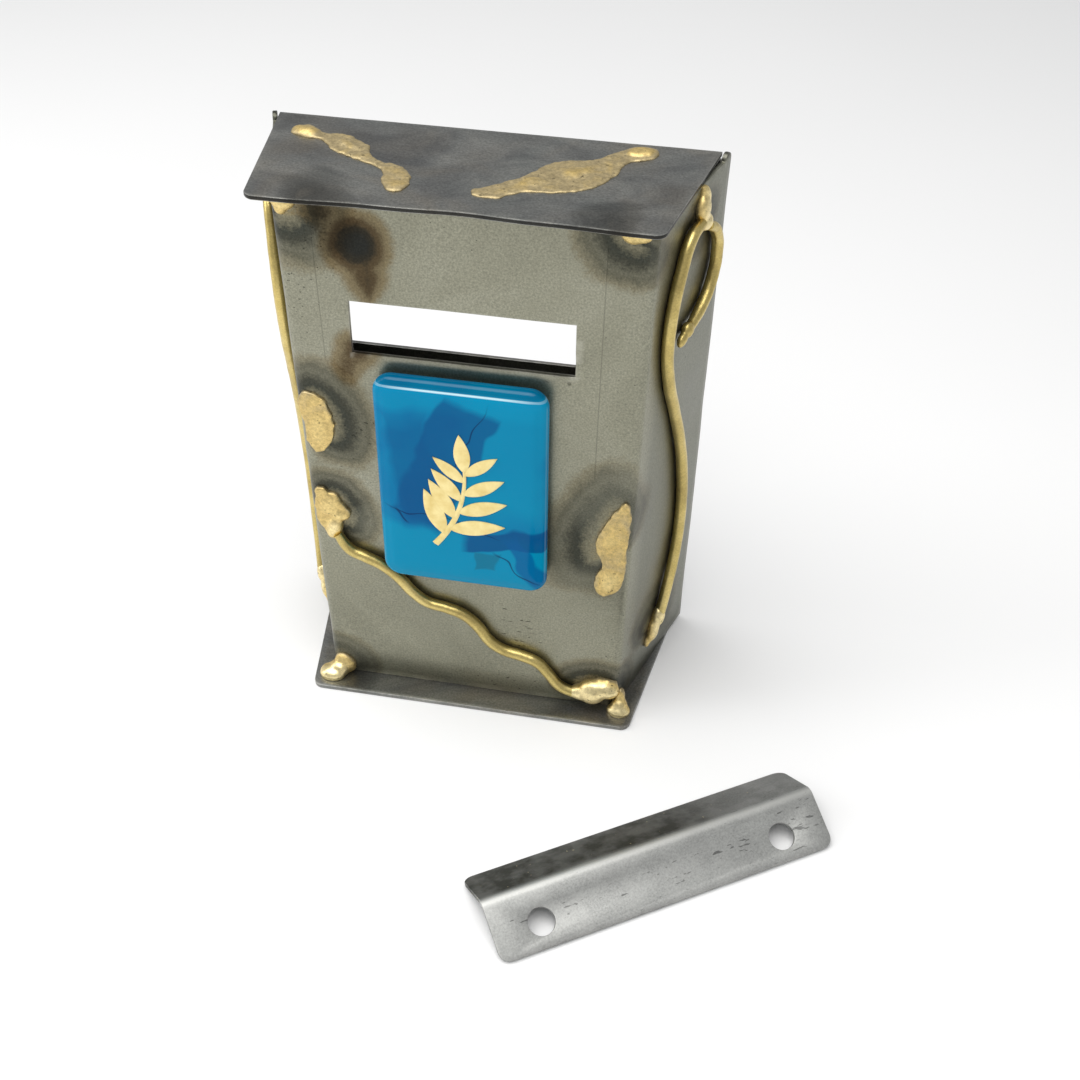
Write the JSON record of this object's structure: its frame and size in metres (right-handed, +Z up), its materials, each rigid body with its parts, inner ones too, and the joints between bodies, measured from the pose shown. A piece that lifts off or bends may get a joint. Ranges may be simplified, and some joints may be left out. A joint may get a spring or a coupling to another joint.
{
  "type": "donation box",
  "caption": "Hand-made steel donation box with a coin slot, fused-glass tile, brazed brass rods and a loose folded wall bracket.",
  "frame": {"origin": "middle of the base plate's underside", "axes": "+X to the right of a person facing the slot's front from outside, +Y towards the back panel, +Z up"},
  "size_m": [0.1649, 0.1341, 0.1593],
  "materials": {
    "body_steel": "bare mild steel, satin, heat-tinted round each braze and clear-coated",
    "dark_steel": "blackened mild steel, satin",
    "bracket_steel": "bare mild steel, satin, with small dark scratches",
    "brass": "brazing brass, bright on the crests and matt in the hollows",
    "tile_glass": "fused turquoise glass with darker shards, fire-polished edges",
    "silicone": "clear silicone adhesive",
    "gold_foil": "pale gold foil motif"
  },
  "bodies": {
    "box": {"body_wrap": "body_steel", "back_panel": "dark_steel", "base_plate": "dark_steel", "roof_plate": "dark_steel", "glass_tile": "tile_glass", "tile_glue": "silicone", "gold_sprig": "gold_foil", "front_rod": "brass", "right_rod": "brass", "right_hook": "brass", "left_rod": "brass", "left_hook": "brass", "front_rod_left_braze": "brass", "front_rod_right_braze": "brass", "left_edge_braze": "brass", "right_edge_braze": "brass", "roof_left_braze": "brass", "roof_right_braze": "brass", "base_left_braze": "brass", "base_right_braze": "brass", "right_rod_top_braze": "brass", "right_rod_foot_braze": "brass", "left_rod_top_braze": "brass", "left_rod_foot_braze": "brass", "roof_left_run": "brass", "roof_right_run": "brass", "back_lower_right_braze": "brass", "back_lower_left_braze": "brass", "back_upper_right_braze": "brass", "back_upper_left_braze": "brass"},
    "bracket": {"wall_bracket": "bracket_steel"}
  },
  "joints": [
    {"name": "bracket_lift", "type": "slide", "parent": "box", "child": "bracket", "axis": [0, 0, 1], "range_m": [0, 0.18]}
  ]
}
